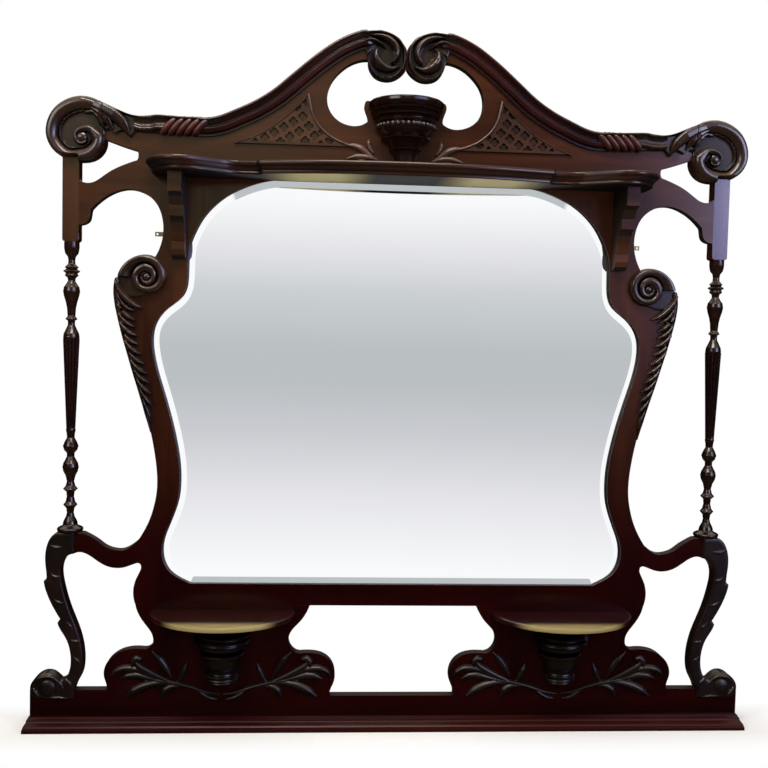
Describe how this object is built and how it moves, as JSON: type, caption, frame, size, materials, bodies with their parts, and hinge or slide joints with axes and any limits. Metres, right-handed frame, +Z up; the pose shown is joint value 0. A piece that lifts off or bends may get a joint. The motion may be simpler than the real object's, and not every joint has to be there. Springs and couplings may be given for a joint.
{
  "type": "overmantel mirror",
  "caption": "Carved mahogany overmantel mirror with a swan-neck pediment, moulded shelf, turned side columns on scroll legs, small half-round shelves and a shaped bevelled glass.",
  "frame": {"origin": "middle of the underside of the base board, in the plane of the front faces of the frame boards", "axes": "+X to the right along the base, +Y back into the wall, +Z up"},
  "size_m": [1.48, 0.162, 1.4113],
  "materials": {
    "mahogany": "french polished",
    "carved_mahogany": "french polished over carving",
    "turned_mahogany": "french polished, turned",
    "softwood": "planed, unfinished",
    "beech": "plain dowel",
    "silvered_glass": "polished, bevelled",
    "screw_steel": "dull",
    "plate_brass": "aged"
  },
  "bodies": {
    "root": {"arch_arm_left": "mahogany", "arch_arm_right": "mahogany", "backboard_lower": "softwood", "backboard_middle": "softwood", "backboard_upper": "softwood", "base_board": "mahogany", "bottom_rail": "mahogany", "bracket_arm_left": "mahogany", "bracket_arm_right": "mahogany", "centre_bowl": "turned_mahogany", "centre_scroll_left": "carved_mahogany", "centre_scroll_right": "carved_mahogany", "centre_spray_left": "carved_mahogany", "centre_spray_right": "carved_mahogany", "column_cap_left": "carved_mahogany", "column_cap_right": "carved_mahogany", "column_left": "turned_mahogany", "column_right": "turned_mahogany", "corner_volute_left": "carved_mahogany", "corner_volute_right": "carved_mahogany", "crest_carving_left": "carved_mahogany", "crest_carving_right": "carved_mahogany", "frame_dowels": "beech", "fret_panel_left": "carved_mahogany", "fret_panel_right": "carved_mahogany", "glazing_blocks": "softwood", "lower_corbel_left": "turned_mahogany", "lower_corbel_right": "turned_mahogany", "lower_panel_left": "mahogany", "lower_panel_right": "mahogany", "lower_shelf_left": "mahogany", "lower_shelf_right": "mahogany", "lower_spray_left": "carved_mahogany", "lower_spray_right": "carved_mahogany", "mirror_glass": "silvered_glass", "neck_moulding_left": "mahogany", "neck_moulding_right": "mahogany", "pediment_board": "mahogany", "plate_screws": "plate_brass", "plinth_rail": "mahogany", "post_block_left": "mahogany", "post_block_right": "mahogany", "scroll_leg_left": "mahogany", "scroll_leg_right": "mahogany", "shelf_bracket_left": "mahogany", "shelf_bracket_right": "mahogany", "spandrel_left": "mahogany", "spandrel_right": "mahogany", "stile_leaf_left": "carved_mahogany", "stile_leaf_right": "carved_mahogany", "stile_left": "mahogany", "stile_right": "mahogany", "stile_scroll_left": "carved_mahogany", "stile_scroll_right": "carved_mahogany", "top_rail": "mahogany", "upper_shelf": "mahogany", "wall_plates": "plate_brass", "wood_screws": "screw_steel"}
  },
  "joints": []
}
